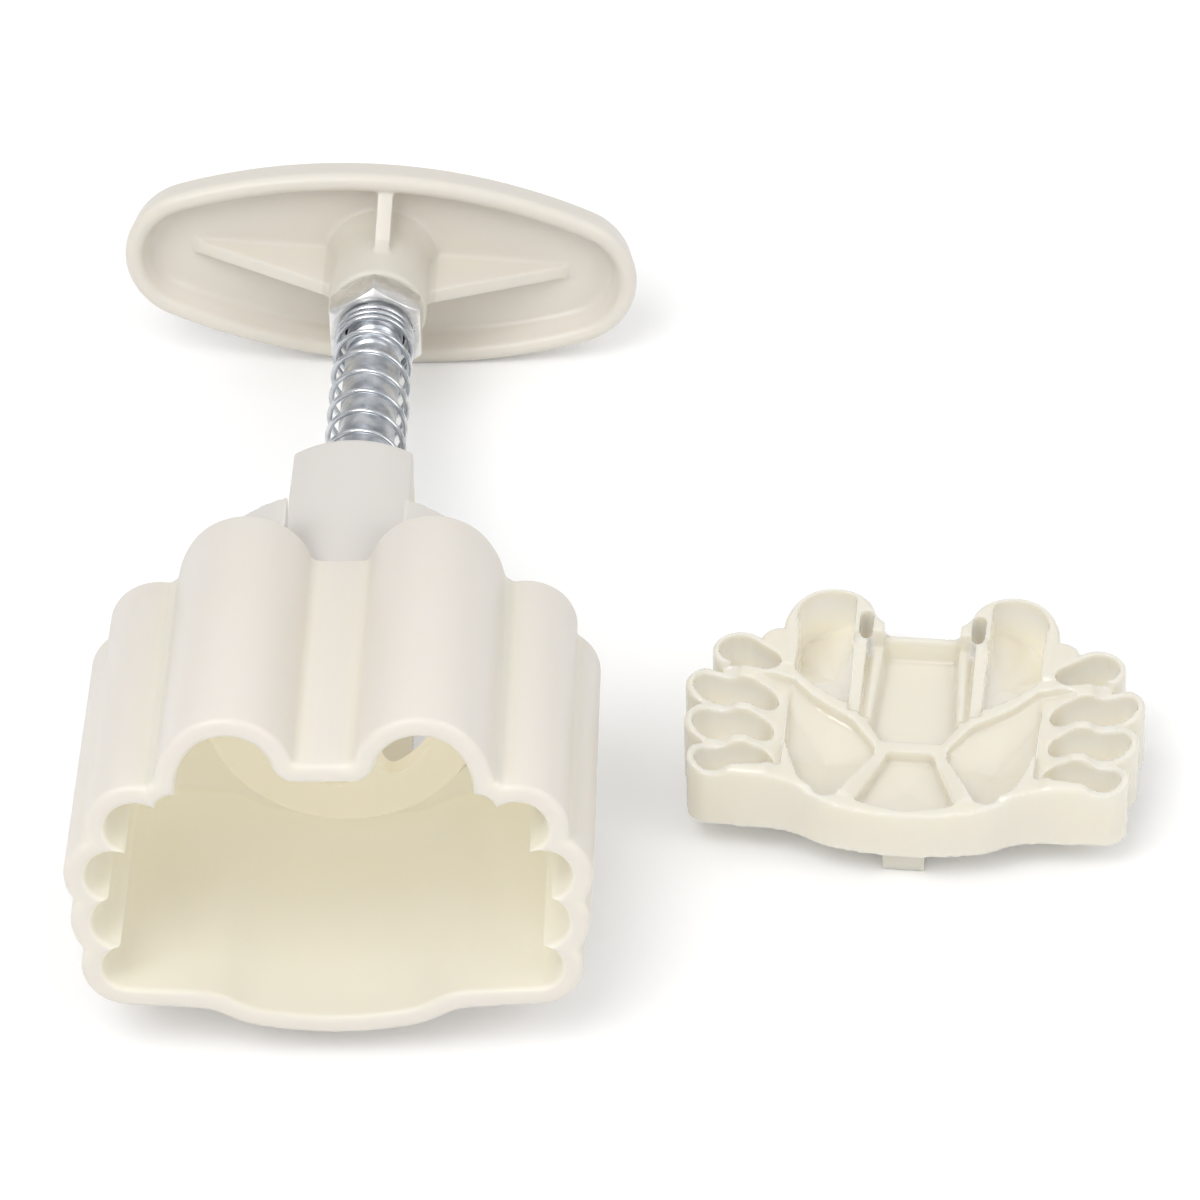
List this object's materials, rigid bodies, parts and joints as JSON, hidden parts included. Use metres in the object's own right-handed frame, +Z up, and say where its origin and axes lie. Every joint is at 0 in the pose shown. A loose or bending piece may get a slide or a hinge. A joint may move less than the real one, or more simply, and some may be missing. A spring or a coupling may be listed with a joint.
{
  "type": "mooncake mold",
  "caption": "Hand-press pastry mold with a crab-shaped barrel, spring plunger and oval handle, lying on its side beside its loose crab stamp plate.",
  "frame": {"origin": "centre of the bounding box's base, on the table that the mold and its plate lie on", "axes": "+Z up from the table, +Y from the mold's mouth towards its handle as seen from above, +X from the mold towards the loose stamp plate"},
  "size_m": [0.1446, 0.1582, 0.0541],
  "materials": {
    "barrel": "ivory moulded plastic, semi-gloss",
    "foot": "ivory moulded plastic, semi-gloss",
    "foot_washer": "zinc-plated steel",
    "foot_screw": "zinc-plated steel",
    "rod": "zinc-plated steel",
    "spring": "bright spring wire",
    "lock_nut": "zinc-plated steel",
    "handle": "ivory moulded plastic, semi-gloss",
    "stamp": "ivory moulded plastic, glossy and slightly translucent"
  },
  "bodies": {
    "mold_body": {"barrel": "barrel", "spring": "spring"},
    "plunger": {"foot": "foot", "foot_washer": "foot_washer", "foot_screw": "foot_screw", "rod": "rod", "lock_nut": "lock_nut", "handle": "handle"},
    "stamp_plate": {"stamp": "stamp"}
  },
  "joints": [
    {"name": "plunger_press", "type": "slide", "parent": "mold_body", "child": "plunger", "axis": [0, -0.995, 0.0996], "range_m": [0, 0.03], "stiffness_N_per_m": 340, "springref_m": -0.004, "deforming": ["spring"]},
    {"name": "stamp_lift", "type": "slide", "parent": "mold_body", "child": "stamp_plate", "axis": [0, 0, 1], "range_m": [0, 0.05]}
  ]
}
